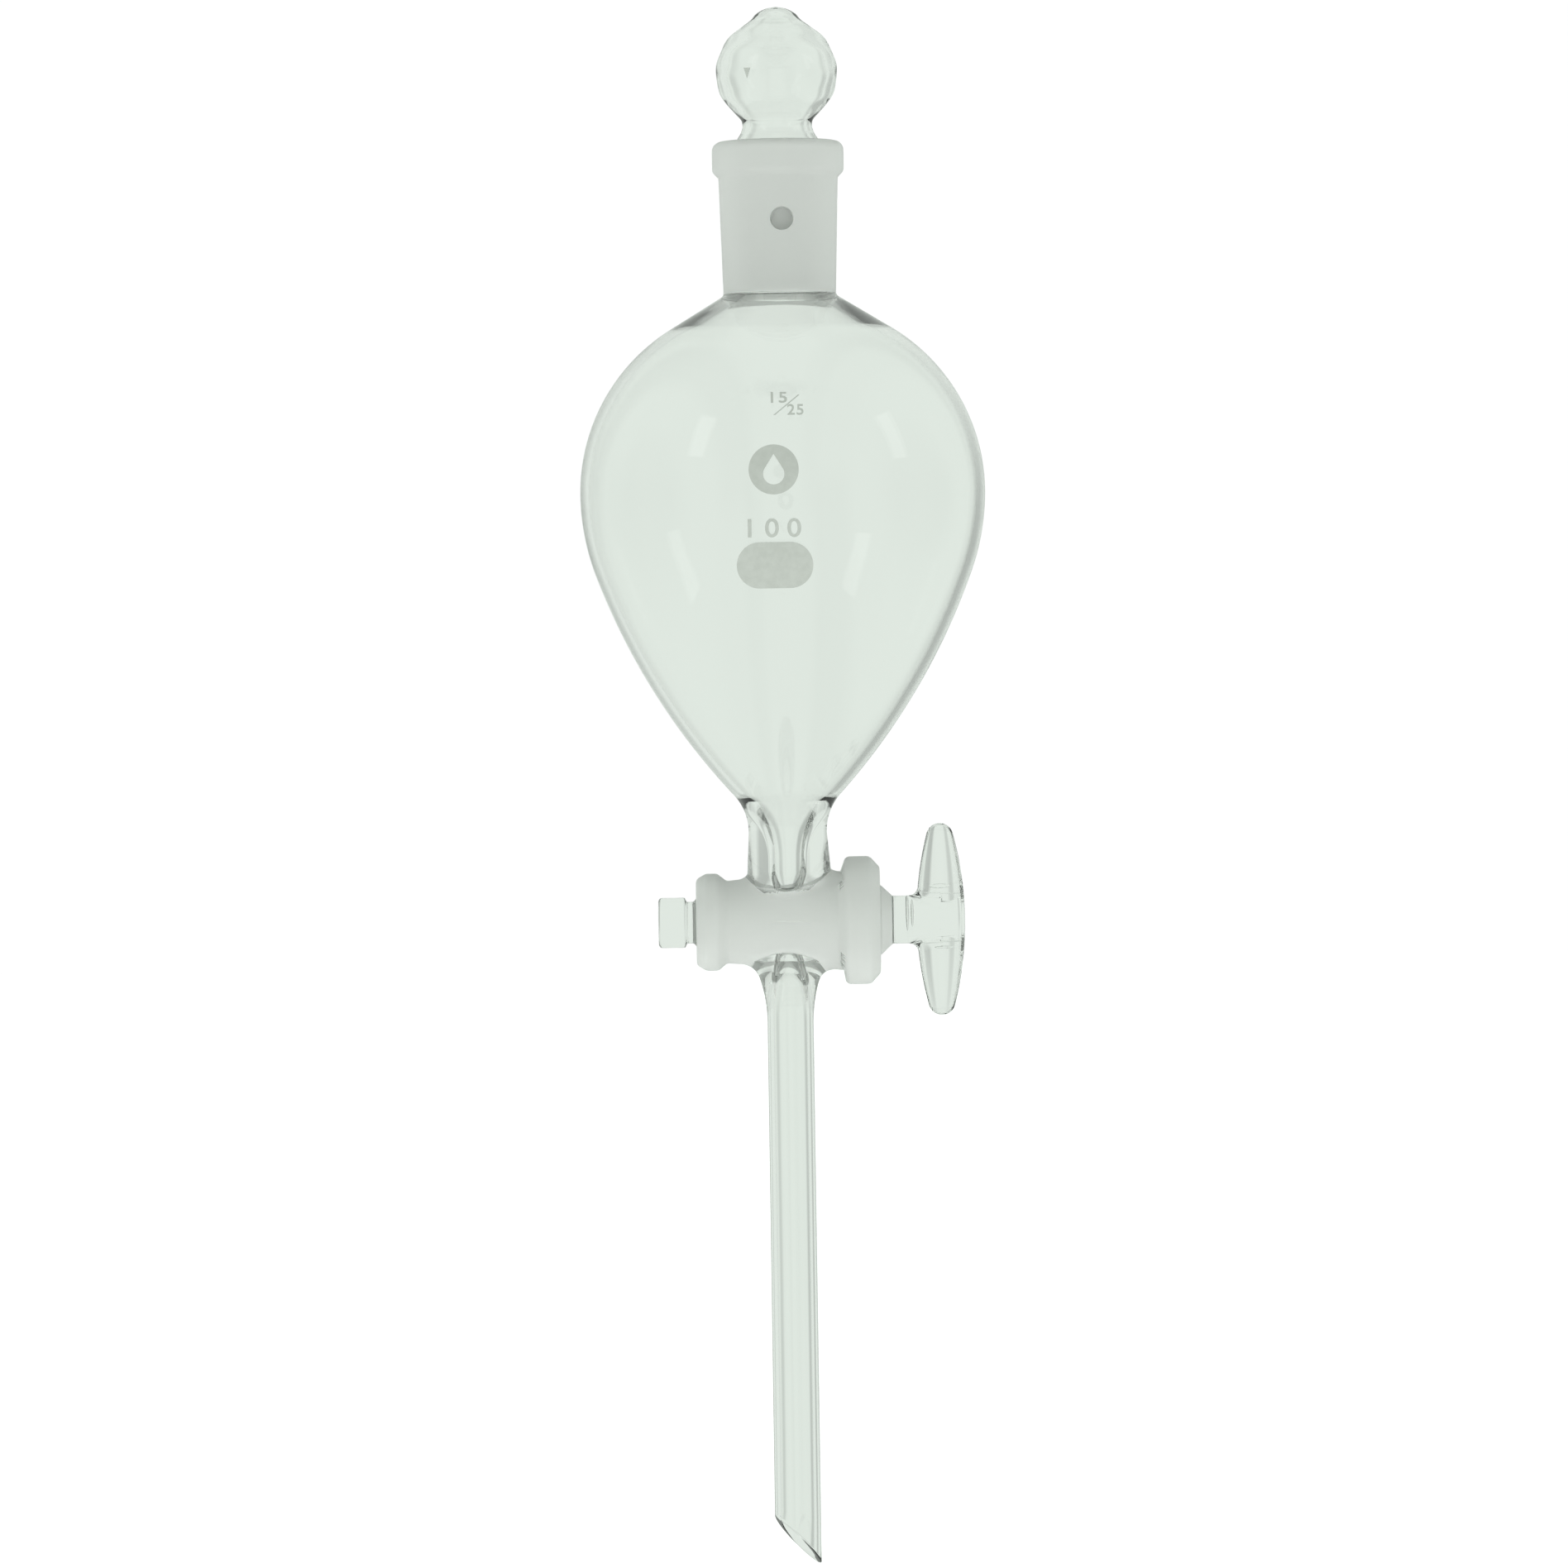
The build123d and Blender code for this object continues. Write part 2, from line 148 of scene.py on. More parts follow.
# ---- meshes -------------------------------------------------------------------------------------
def lathe(name, outline, axis="Z", level=0.0, segments=SEGMENTS, squash=1.0):
    """A closed solid of revolution from an outline of (radius, height) that starts and ends on the axis.
    axis X turns it about the line at height level; squash flattens it along Y."""
    bm = bmesh.new()
    rings = []
    for radius, height in outline:
        if radius < 1e-7:
            rings.append([bm.verts.new(place(axis, level, 0, 0, height, squash))])
            continue
        ring = []
        for index in range(segments):
            angle = 2 * math.pi * (index + 0.5) / segments
            x, y = radius * math.cos(angle), radius * math.sin(angle)
            ring.append(bm.verts.new(place(axis, level, x, y, height, squash)))
        rings.append(ring)
    for upper, lower in zip(rings, rings[1:]):
        for index in range(segments):
            after = (index + 1) % segments
            if len(upper) == 1:
                bm.faces.new((upper[0], lower[index], lower[after]))
            elif len(lower) == 1:
                bm.faces.new((upper[index], lower[0], upper[after]))
            else:
                bm.faces.new((upper[index], lower[index], lower[after], upper[after]))
    bmesh.ops.recalc_face_normals(bm, faces=bm.faces)
    return to_object(name, bm)


def place(axis, level, across, deep, along, squash):
    """A lathe point's place in the frame."""
    if axis == "X":
        return along, across * squash, level + deep
    return across, deep * squash, along


def to_object(name, bm):
    """Turns a bmesh into an object in the scene."""
    mesh = bpy.data.meshes.new(name)
    bm.to_mesh(mesh)
    bm.free()
    obj = bpy.data.objects.new(name, mesh)
    bpy.context.scene.collection.objects.link(obj)
    return obj


def boolean(obj, other, operation):
    """Joins or cuts obj with other, applies the result and deletes other."""
    modifier = obj.modifiers.new("cut", "BOOLEAN")
    modifier.operation = operation
    modifier.solver = "EXACT"
    modifier.material_mode = "TRANSFER"
    modifier.object = other
    graph = bpy.context.evaluated_depsgraph_get()
    mesh = bpy.data.meshes.new_from_object(obj.evaluated_get(graph))
    obj.modifiers.clear()
    old = obj.data
    obj.data = mesh
    bpy.data.meshes.remove(old)
    used = other.data
    bpy.data.objects.remove(other)
    bpy.data.meshes.remove(used)


def weld_fillet(obj, first, second, blend, near):
    """Rounds the crease where two solids meet: the mesh near it is refined and moved onto the smooth
    union of the two distance functions. near says which points may move."""
    def field(p):
        a, b = first(p), second(p)
        h = max(blend - abs(a - b), 0) / blend
        return min(a, b) - h * h * blend / 4

    bm = bmesh.new()
    bm.from_mesh(obj.data)
    bmesh.ops.triangulate(bm, faces=[f for f in bm.faces if any(near(v.co) for v in f.verts)])
    for limit in (1.2, 0.6, 0.35):
        long_edges = [
            e for e in bm.edges
            if e.calc_length() > limit * MM and near((e.verts[0].co + e.verts[1].co) / 2)
            and abs(first((e.verts[0].co + e.verts[1].co) / 2) - second((e.verts[0].co + e.verts[1].co) / 2))
            < 1.6 * blend
        ]
        bmesh.ops.subdivide_edges(bm, edges=long_edges, cuts=1)
        wide_faces = [f for f in bm.faces if len(f.verts) > 3 and near(f.calc_center_median())]
        bmesh.ops.triangulate(bm, faces=wide_faces)
    tiny = 0.02 * MM
    steps = (Vector((tiny, 0, 0)), Vector((0, tiny, 0)), Vector((0, 0, tiny)))
    moved = [v for v in bm.verts if near(v.co) and abs(first(v.co) - second(v.co)) < 1.5 * blend]
    for _ in range(4):
        for vert in moved:
            value = field(vert.co)
            slope = Vector([(field(vert.co + s) - field(vert.co - s)) / (2 * tiny) for s in steps])
            if slope.length > 0.2:
                vert.co -= slope * value / slope.length_squared
    bm.to_mesh(obj.data)
    bm.free()


def shade(obj):
    """Smooth shading that keeps edges sharper than 35 degrees."""
    obj.data.polygons.foreach_set("use_smooth", [True] * len(obj.data.polygons))
    obj.data.set_sharp_from_angle(angle=math.radians(35))


# ---- materials ----------------------------------------------------------------------------------
def material(name):
    """A new node material, with its nodes, links and main shader."""
    mat = bpy.data.materials.new(name)
    mat.use_nodes = True
    return mat, mat.node_tree.nodes, mat.node_tree.links, mat.node_tree.nodes["Principled BSDF"]


def bump(nodes, links, shader, layers):
    """Adds object-space noise bumps to a shader: (scale per metre, detail, height in metres) each."""
    coords = nodes.new("ShaderNodeTexCoord")
    normal = None
    for scale, detail, height in layers:
        noise = nodes.new("ShaderNodeTexNoise")
        noise.inputs["Scale"].default_value = scale
        noise.inputs["Detail"].default_value = detail
        links.new(coords.outputs["Object"], noise.inputs["Vector"])
        node = nodes.new("ShaderNodeBump")
        node.inputs["Distance"].default_value = height
        node.inputs["Strength"].default_value = 1.0
        links.new(noise.outputs["Fac"], node.inputs["Height"])
        if normal:
            links.new(normal, node.inputs["Normal"])
        normal = node.outputs["Normal"]
    links.new(normal, shader.inputs["Normal"])


def glass(name, tint, roughness, layers, clearness=1.0):
    """Borosilicate glass with the given bump layers; clearness below 1 makes the rest chalky."""
    mat, nodes, links, shader = material(name)
    shader.inputs["Base Color"].default_value = (*tint, 1)
    shader.inputs["Roughness"].default_value = roughness
    shader.inputs["IOR"].default_value = 1.474
    shader.inputs["Transmission Weight"].default_value = clearness
    bump(nodes, links, shader, layers)
    return mat


FLAME_WAVES = (55, 2, 0.02 * MM)
POLISH = (200, 2, 0.0006 * MM)
clear = glass("clear_glass", (0.99, 1.0, 0.99), 0.03, (FLAME_WAVES, POLISH))
inner = glass("inner_glass", (0.995, 1.0, 0.995), 0.0, ((70, 2, 0.03 * MM),))
# The ground faces scatter light; their outer and exposed sides are also a little chalky.
ground = glass("ground_glass", (0.995, 1.0, 0.995), 0.45, ((2500, 3, 0.01 * MM), (9000, 2, 0.004 * MM)))
MATTE_GRAIN = ((1800, 3, 0.012 * MM), (7000, 2, 0.004 * MM))
matte = glass("matte_glass", (0.985, 0.995, 0.98), 0.5, MATTE_GRAIN, clearness=0.45)


def paint(obj, slots, tests):
    """Gives each face the first material whose test its centre passes, and the first one otherwise."""
    obj.data.materials.clear()
    for mat in slots:
        obj.data.materials.append(mat)
    for face in obj.data.polygons:
        face.material_index = 0
        for index, test in enumerate(tests, 1):
            if test(face.center, face.normal):
                face.material_index = index
                break


# ---- glass body ---------------------------------------------------------------------------------
crown_centre = (bulb_r - CROWN_R, equator_z)
belly_centre = (bulb_r - BELLY_R, equator_z)
cheek_step = CHEEK_R - BELLY_R
cheek_centre = (
    belly_centre[0] - cheek_step * math.cos(math.radians(BELLY_ANGLE)),
    equator_z + cheek_step * math.sin(math.radians(BELLY_ANGLE)),
)


def sweep_angle(cheek, sweep, foot_r):
    """Degrees below the outward direction where the cheek hands over to a hollow sweep."""
    return math.degrees(math.acos((foot_r + sweep - cheek_centre[0]) / (cheek + sweep)))


def bulb_radius(z):
    """Outside radius of the bulb at height z."""
    if z > equator_z:
        return crown_centre[0] + math.sqrt(CROWN_R**2 - (z - equator_z) ** 2)
    if z > equator_z - BELLY_R * math.sin(math.radians(BELLY_ANGLE)):
        return belly_centre[0] + math.sqrt(BELLY_R**2 - (z - equator_z) ** 2)
    return cheek_centre[0] + math.sqrt(CHEEK_R**2 - (z - cheek_centre[1]) ** 2)


outer_end = sweep_angle(CHEEK_R, TUBE_SWEEP_R, TUBE_R)
outer_foot_z = cheek_centre[1] - (CHEEK_R + TUBE_SWEEP_R) * math.sin(math.radians(outer_end))
inner_end = sweep_angle(CHEEK_R - WALL, THROAT_SWEEP_R, THROAT_R)
throat_centre = (
    THROAT_R + THROAT_SWEEP_R,
    cheek_centre[1] - (CHEEK_R - WALL + THROAT_SWEEP_R) * math.sin(math.radians(inner_end)),
)
foot_away = math.hypot(SOCKET_FOOT_R - crown_centre[0], seam_z - equator_z)
foot_angle = math.acos((SOCKET_FOOT_R - crown_centre[0]) / foot_away)
shoulder_angle = math.degrees(foot_angle - math.acos(CROWN_R / foot_away))
lip_turn = math.radians(INNER_SHOULDER_ANGLE)
lip_centre = (LIP_R + LIP_ROUND, equator_z + (
    CROWN_R - WALL + LIP_ROUND - (LIP_R + LIP_ROUND - crown_centre[0]) * math.cos(lip_turn)
) / math.sin(lip_turn))

FLARE_SWEEP_R = 22 * MM
flare_z = rim_z - 143 * MM
flare_top_z = barrel_z - 6.4 * MM
flare_reach = math.degrees(math.asin((flare_top_z - flare_z) / FLARE_SWEEP_R))
flare_top_r = STEM_R + FLARE_SWEEP_R * (1 - math.cos(math.radians(flare_reach)))

body_outline = [
    *rounded([
        (0, rim_z, 0),
        (rim_r, rim_z, 1.5 * MM),
        (rim_r, rim_z - 4.9 * MM, 1.3 * MM),
        (SOCKET_TOP_R, rim_z - 5.9 * MM, 0.6 * MM),
        (SOCKET_FOOT_R, seam_z, 0.9 * MM),
        (*arc(crown_centre, CROWN_R, shoulder_angle, 0)[0], 0),
    ]),
    *arc(crown_centre, CROWN_R, shoulder_angle, 0, 2)[1:],
    *arc(belly_centre, BELLY_R, 0, -BELLY_ANGLE, 1.5)[1:],
    *arc(cheek_centre, CHEEK_R, -BELLY_ANGLE, -outer_end, 0.6)[1:],
    *arc((TUBE_R + TUBE_SWEEP_R, outer_foot_z), TUBE_SWEEP_R, 180 - outer_end, 180, 4)[1:],
    (TUBE_R, barrel_z + 7.6 * MM),
    (TUBE_R, barrel_z + 1 * MM),
    (flare_top_r + (flare_top_z - barrel_z + 1 * MM) * 0.6, barrel_z - 1 * MM),
    *arc((STEM_R + FLARE_SWEEP_R, flare_z), FLARE_SWEEP_R, 180 - flare_reach, 180, 4),
    *[(STEM_R, flare_z + (tip_z + 9 * MM - flare_z) * k / 8) for k in range(1, 9)],
    *rounded([
        (STEM_R, tip_z + 8 * MM, 0),
        (STEM_R, tip_z + STEM_SHORT_RISE / 2, 0.35 * MM),
        (0, tip_z + STEM_SHORT_RISE / 2, 0),
    ]),
]
glass_body = lathe("glass_body", body_outline)
paint(glass_body, (clear,), ())
# The tip is cut on a slant: the end rings tilt, long towards +X and a little to the back.
for vert in glass_body.data.vertices:
    weight = min(1, max(0, (tip_z + 9 * MM - vert.co.z) / (4 * MM)))
    along = vert.co.x * math.cos(BEVEL_TURN) + vert.co.y * math.sin(BEVEL_TURN)
    vert.co.z -= weight * along / STEM_R * STEM_SHORT_RISE / 2

barrel_left, barrel_right = barrel_low[0], barrel_high[0]
BARREL_LEFT_R = 6.7 * MM
BARREL_RIGHT_R = 8.0 * MM
barrel_bar = lathe("barrel_bar", [
    (0, barrel_left),
    *rounded([
        (5.2 * MM, barrel_left, 0),
        (7.0 * MM, barrel_left, 1.0 * MM),
        (7.9 * MM, barrel_left + 1.6 * MM, 1.2 * MM),
        (7.9 * MM, -11.6 * MM, 1.2 * MM),
        (BARREL_LEFT_R, -10.1 * MM, 1.0 * MM),
        (BARREL_RIGHT_R, 8.0 * MM, 1.0 * MM),
        (10.4 * MM, 9.4 * MM, 1.1 * MM),
        (10.4 * MM, 13.2 * MM, 1.3 * MM),
        (8.6 * MM, barrel_right, 0.8 * MM),
        (6.2 * MM, barrel_right, 0),
    ]),
    (0, barrel_right),
], axis="X", level=barrel_z)
paint(barrel_bar, (clear,), ())
boolean(glass_body, barrel_bar, "UNION")


def arm_distance(p):
    """Distance to the upright tube above the barrel and the flare below it."""
    across = math.hypot(p.x, p.y)
    if p.z > barrel_z:
        return across - TUBE_R
    if p.z > flare_top_z:
        return across - flare_top_r + (p.z - flare_top_z) * 0.6
    rise = max(0, p.z - flare_z)
    return across - (STEM_R + FLARE_SWEEP_R - math.sqrt(FLARE_SWEEP_R**2 - rise**2))


def barrel_distance(p):
    """Distance to the barrel's tapered body."""
    wide = BARREL_LEFT_R + (p.x + 10.1 * MM) / (18.1 * MM) * (BARREL_RIGHT_R - BARREL_LEFT_R)
    return math.hypot(p.y, p.z - barrel_z) - wide


weld_fillet(
    glass_body, arm_distance, barrel_distance, 2.2 * MM,
    lambda p: abs(p.x) < 8.8 * MM and abs(p.y) < 9.5 * MM and 0 < p.z - barrel_z < 11 * MM,
)
weld_fillet(
    glass_body, arm_distance, barrel_distance, 2.2 * MM,
    lambda p: abs(p.x) < 8.8 * MM and abs(p.y) < 9.5 * MM and -14 * MM < p.z - barrel_z < 0,
)


def on_barrel(p):
    """True on the barrel's outside, and on the welds beside its bore."""
    high = abs(p.z - barrel_z)
    if not barrel_left - 0.1 * MM < p.x < barrel_right + 0.1 * MM or high > 11 * MM:
        return False
    return abs(p.x) > 8.8 * MM or barrel_distance(p) < 0.4 * MM or high < bore_r(p.x)


def bore_r(x):
    """Radius of the barrel's ground bore at x."""
    return BORE_MID_R + TAPER * x


paint(glass_body, (clear, matte), (lambda p, n: p.z > seam_z + 0.3 * MM or on_barrel(p),))

bore_top = rim_z + 4 * MM
passage_outline = [
    (0, bore_top),
    (MOUTH_R + 4.6 * MM, bore_top),
    (MOUTH_R + 0.3 * MM, rim_z - 0.02 * MM),
    (MOUTH_R - TAPER * 0.5 * MM, rim_z - 0.5 * MM),
    *[(MOUTH_R - TAPER * d * MM, rim_z - d * MM) for d in (5, 10, 15, 20, 25)],
    *arc(lip_centre, LIP_ROUND, 180, 180 + INNER_SHOULDER_ANGLE, 6),
    *arc(crown_centre, CROWN_R - WALL, INNER_SHOULDER_ANGLE, 0, 2),
    *arc(belly_centre, BELLY_R - WALL, 0, -BELLY_ANGLE, 1.5)[1:],
    *arc(cheek_centre, CHEEK_R - WALL, -BELLY_ANGLE, -inner_end, 0.6)[1:],
    *arc(throat_centre, THROAT_SWEEP_R, 180 - inner_end, 180, 2.5)[1:],
    (THROAT_R, barrel_z + 8 * MM),
    *rounded([
        (1.9 * MM, barrel_z + 5.5 * MM, 0),
        (PORT_R, barrel_z - 5 * MM, 12 * MM),
        (STEM_BORE_R, barrel_z - 13.5 * MM, 25 * MM),
        (STEM_BORE_R, barrel_z - 30 * MM, 0),
    ]),
    (STEM_BORE_R, tip_z + 20 * MM),
    (STEM_BORE_R, tip_z - 3 * MM),
    (0, tip_z - 3 * MM),
]
passage = lathe("passage", passage_outline)
paint(passage, (inner, ground), (lambda p, n: seam_z < p.z < rim_z - 0.4 * MM,))
boolean(glass_body, passage, "DIFFERENCE")

bore_outline = [(0, barrel_left - 3 * MM)]
bore_outline += [(bore_r(x * MM), x * MM) for x in (-18, -10, -5, 0, 5, 10, 14.4)]
bore_outline += [(bore_r(14.8 * MM) + 0.35 * MM, barrel_right + 0.02 * MM)]
bore_outline += [(8 * MM, barrel_right + 2.5 * MM), (0, barrel_right + 2.5 * MM)]
bore = lathe("bore", bore_outline, axis="X", level=barrel_z)
paint(bore, (ground, clear), (lambda p, n: p.x > 14.5 * MM,))
boolean(glass_body, bore, "DIFFERENCE")

VENT_R = 1.65 * MM
VENT_DEPTH = 13 * MM
vent = bmesh.new()
bmesh.ops.create_cone(
    vent, cap_ends=True, segments=48, radius1=VENT_R, radius2=VENT_R + 0.5 * MM, depth=8 * MM
)
for vert in vent.verts:
    across, deep, along = vert.co
    vert.co = (0.5 * MM + across, -9.4 * MM - along, rim_z - VENT_DEPTH + deep)
bmesh.ops.recalc_face_normals(vent, faces=vent.faces)
vent_hole = to_object("vent", vent)
paint(vent_hole, (matte,), ())
boolean(glass_body, vent_hole, "DIFFERENCE")

# ---- stopper ------------------------------------------------------------------------------------
HEAD_OUTLINE = (
    (0, 21.9), (1.75, 21.55), (3.2, 20.75), (4.1, 19.75), (5.9, 18.4), (7.9, 16.75), (9.1, 14.4),
    (9.8, 12.4), (9.75, 10.3), (9.3, 7.9), (8.3, 6.3), (6.9, 4.7), (5.85, 3.5), (5.65, 2.6),
)
CAVITY_OUTLINE = (
    (0, 20.4), (1.2, 20.15), (2.2, 19.5), (3.0, 18.7), (4.5, 17.5), (6.6, 15.5), (7.7, 13.4), (8.2, 11.3),
    (7.9, 9.2), (7.0, 7.2), (5.5, 5.4), (4.6, 4.0), (4.4, 2.6),
)
CONE_DEPTH = 24.2 * MM
CONE_WALL = 1.3 * MM


def cone_r(depth):
    """Outside radius of the stopper's ground cone at a depth below the rim."""
    return MOUTH_R - GROUND_GAP - TAPER * depth


cone_foot_z = rim_z - CONE_DEPTH
foot_r = cone_r(CONE_DEPTH)
stopper = lathe("stopper_glass", [
    *smooth([(r * MM, rim_z + h * MM) for r, h in HEAD_OUTLINE], 5),
    *rounded([
        (5.65 * MM, rim_z + 2.3 * MM, 0),
        (6.0 * MM, rim_z + 1.3 * MM, 1.2 * MM),
        (cone_r(1.0 * MM), rim_z - 0.9 * MM, 0.8 * MM),
        (cone_r(3 * MM), rim_z - 3 * MM, 0),
    ]),
    *[(cone_r(d * MM), rim_z - d * MM) for d in (7, 11, 15, 19, 22)],
    *rounded([(cone_r(24 * MM), rim_z - 24 * MM, 0), (foot_r, cone_foot_z, 2.2 * MM), (0, cone_foot_z, 0)]),
])
paint(stopper, (clear, matte), (
    lambda p, n: 0.9 * MM < rim_z - p.z < 24 * MM and math.hypot(p.x, p.y) > cone_r(rim_z - p.z) - 0.05 * MM,
))
groove_turn = math.radians(-28.7)
groove_way = Vector((math.sin(groove_turn), -math.cos(groove_turn), 0))
GROOVE_R = 1.25 * MM
groove = bmesh.new()
bmesh.ops.create_cone(groove, cap_ends=True, segments=40, radius1=GROOVE_R, radius2=GROOVE_R, depth=30 * MM)
groove_top = rim_z - VENT_DEPTH + VENT_R
for vert in groove.verts:
    height = vert.co.z + 15 * MM
    lean = cone_r(rim_z - groove_top + height) + GROOVE_R - 0.8 * MM
    vert.co = Vector((vert.co.x, vert.co.y, groove_top - height)) + groove_way * lean
bmesh.ops.recalc_face_normals(groove, faces=groove.faces)
groove_cutter = to_object("groove", groove)
paint(groove_cutter, (matte,), ())
boolean(stopper, groove_cutter, "DIFFERENCE")
cavity = lathe("cavity", [
    *smooth([(r * MM, rim_z + h * MM) for r, h in CAVITY_OUTLINE], 5),
    *rounded([
        (4.4 * MM, rim_z + 2.3 * MM, 0),
        (4.7 * MM, rim_z + 1.2 * MM, 1.5 * MM),
        (cone_r(1.5 * MM) - CONE_WALL, rim_z - 1.5 * MM, 1.5 * MM),
        (foot_r - CONE_WALL, cone_foot_z + CONE_WALL, 1.7 * MM),
        (0, cone_foot_z + CONE_WALL, 0),
    ]),
])
paint(cavity, (inner,), ())
boolean(stopper, cavity, "DIFFERENCE")

# ---- stopcock plug ------------------------------------------------------------------------------
tail_x = key_low[0]
SHANK_R = 3.9 * MM
SHANK_END = handle_high[0] - 0.6 * MM
plug = lathe("plug_glass", rounded([
    (0, tail_x, 0),
    (4.08 * MM, tail_x, 0.6 * MM),
    (4.08 * MM, -16.9 * MM, 0.35 * MM),
    (3.4 * MM, -16.6 * MM, 0.25 * MM),
    (3.4 * MM, -15.5 * MM, 0.3 * MM),
    (bore_r(-15.0 * MM) - GROUND_GAP, -14.9 * MM, 0.2 * MM),
    (bore_r(-5 * MM) - GROUND_GAP, -5 * MM, 0),
    (bore_r(5 * MM) - GROUND_GAP, 5 * MM, 0),
    (bore_r(15 * MM) - GROUND_GAP, 15 * MM, 0.3 * MM),
    (SHANK_R, 16.8 * MM, 0.5 * MM),
    (SHANK_R, SHANK_END, 0.9 * MM),
    (0, SHANK_END, 0),
]), axis="X", level=barrel_z)
paint(plug, (clear, matte), (lambda p, n: -14.9 * MM < p.x < 16.7 * MM,))
BAR_WIDE = 3.95 * MM
bar_x = handle_high[0] - BAR_WIDE
bar_half = (handle_high[2] - handle_low[2]) / 2
BAR_TIP_R = 2.2 * MM
tip_rise = bar_half - BAR_TIP_R
bow = BAR_WIDE - BAR_TIP_R
bar_side_r = (bow**2 + tip_rise**2) / (2 * bow) + BAR_TIP_R
bar_side_x = BAR_WIDE - bar_side_r
bar_lean = math.degrees(math.acos(-bar_side_x / (bar_side_r - BAR_TIP_R)))
bar_outline = [
    *arc((0, tip_rise), BAR_TIP_R, 90, bar_lean, 8),
    *arc((bar_side_x, 0), bar_side_r, bar_lean, -bar_lean, 1.0)[1:],
    *arc((0, -tip_rise), BAR_TIP_R, -bar_lean, -90, 8)[1:],
]
bar_outline[0] = (0, bar_outline[0][1])
bar_outline[-1] = (0, bar_outline[-1][1])
BAR_SQUASH = 0.72
bar = lathe("bar", bar_outline, squash=BAR_SQUASH)
for vert in bar.data.vertices:
    vert.co += Vector((bar_x, 0, barrel_z))
paint(bar, (clear,), ())
boolean(plug, bar, "UNION")


def shank_distance(p):
    """Distance to the plug's shank."""
    return math.hypot(p.y, p.z - barrel_z) - SHANK_R


def bar_distance(p):
    """Distance to the bar's bowed side."""
    rise = min(abs(p.z - barrel_z), tip_rise)
    wide = bar_side_x + math.sqrt(bar_side_r**2 - rise**2)
    return math.hypot(p.x - bar_x, p.y / BAR_SQUASH) - wide


weld_fillet(
    plug, shank_distance, bar_distance, 1.6 * MM,
    lambda p: 18.3 * MM < p.x < bar_x and abs(p.z - barrel_z) < 7 * MM,
)
CROSS_R = 1.25 * MM
cross = bmesh.new()
bmesh.ops.create_cone(cross, cap_ends=True, segments=40, radius1=CROSS_R, radius2=CROSS_R, depth=14 * MM)
for vert in cross.verts:
    vert.co.z += barrel_z
bmesh.ops.recalc_face_normals(cross, faces=cross.faces)
cross_bore = to_object("cross", cross)
paint(cross_bore, (inner,), ())
boolean(plug, cross_bore, "DIFFERENCE")


def bubble(obj, centre, size):
    """A flattened bubble of air inside the glass; centre and size in millimetres, from the plug's axis."""
    bm = bmesh.new()
    bmesh.ops.create_icosphere(bm, subdivisions=3, radius=1.0)
    for vert in bm.verts:
        where = Vector([c * MM + v * s / 2 * MM for c, v, s in zip(centre, vert.co, size)])
        vert.co = where + Vector((0, 0, barrel_z))
    void = to_object("bubble", bm)
    paint(void, (inner,), ())
    boolean(obj, void, "DIFFERENCE")


bubble(plug, (19.2, 0.6, 1.0), (0.55, 0.5, 4.4))
bubble(plug, (20.0, -0.7, 0.9), (0.5, 0.4, 3.6))
bubble(plug, (bar_x / MM - 0.1, 0.3, 5.3), (2.8, 0.5, 0.8))
bubble(plug, (bar_x / MM - 0.3, 0.4, 4.1), (6.0, 0.5, 0.22))
bubble(plug, (bar_x / MM + 0.2, -0.3, -3.6), (5.6, 0.5, 0.3))
bubble(plug, (bar_x / MM + 0.4, 0.3, -4.5), (2.6, 0.6, 0.5))

# ---- finish and bodies --------------------------------------------------------------------------
for piece in (glass_body, stopper, plug):
    shade(piece)
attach(glass_body, "funnel")
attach(stopper, "stopper")
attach(plug, "plug")
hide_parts("joint_socket", "bulb", "outlet_tube", "stopcock_barrel", "drip_stem")
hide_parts("stopper_cone", "stopper_head")
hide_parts("plug_cone", "plug_handle")

# ---- enamel -------------------------------------------------------------------------------------
enamel, nodes, links, shader = material("enamel_print")
coords = nodes.new("ShaderNodeTexCoord")
worn = nodes.new("ShaderNodeTexNoise")
worn.inputs["Scale"].default_value = 900
worn.inputs["Detail"].default_value = 4
links.new(coords.outputs["Object"], worn.inputs["Vector"])
tone = nodes.new("ShaderNodeValToRGB")
tone.color_ramp.elements[0].position = 0.35
tone.color_ramp.elements[0].color = (0.52, 0.545, 0.51, 1)
tone.color_ramp.elements[1].position = 0.65
tone.color_ramp.elements[1].color = (0.56, 0.585, 0.55, 1)
links.new(worn.outputs["Fac"], tone.inputs["Fac"])
links.new(tone.outputs["Color"], shader.inputs["Base Color"])
shader.inputs["Roughness"].default_value = 0.6
bump(nodes, links, shader, ((3000, 3, 0.01 * MM),))

MARKS_X = -1.4 * MM


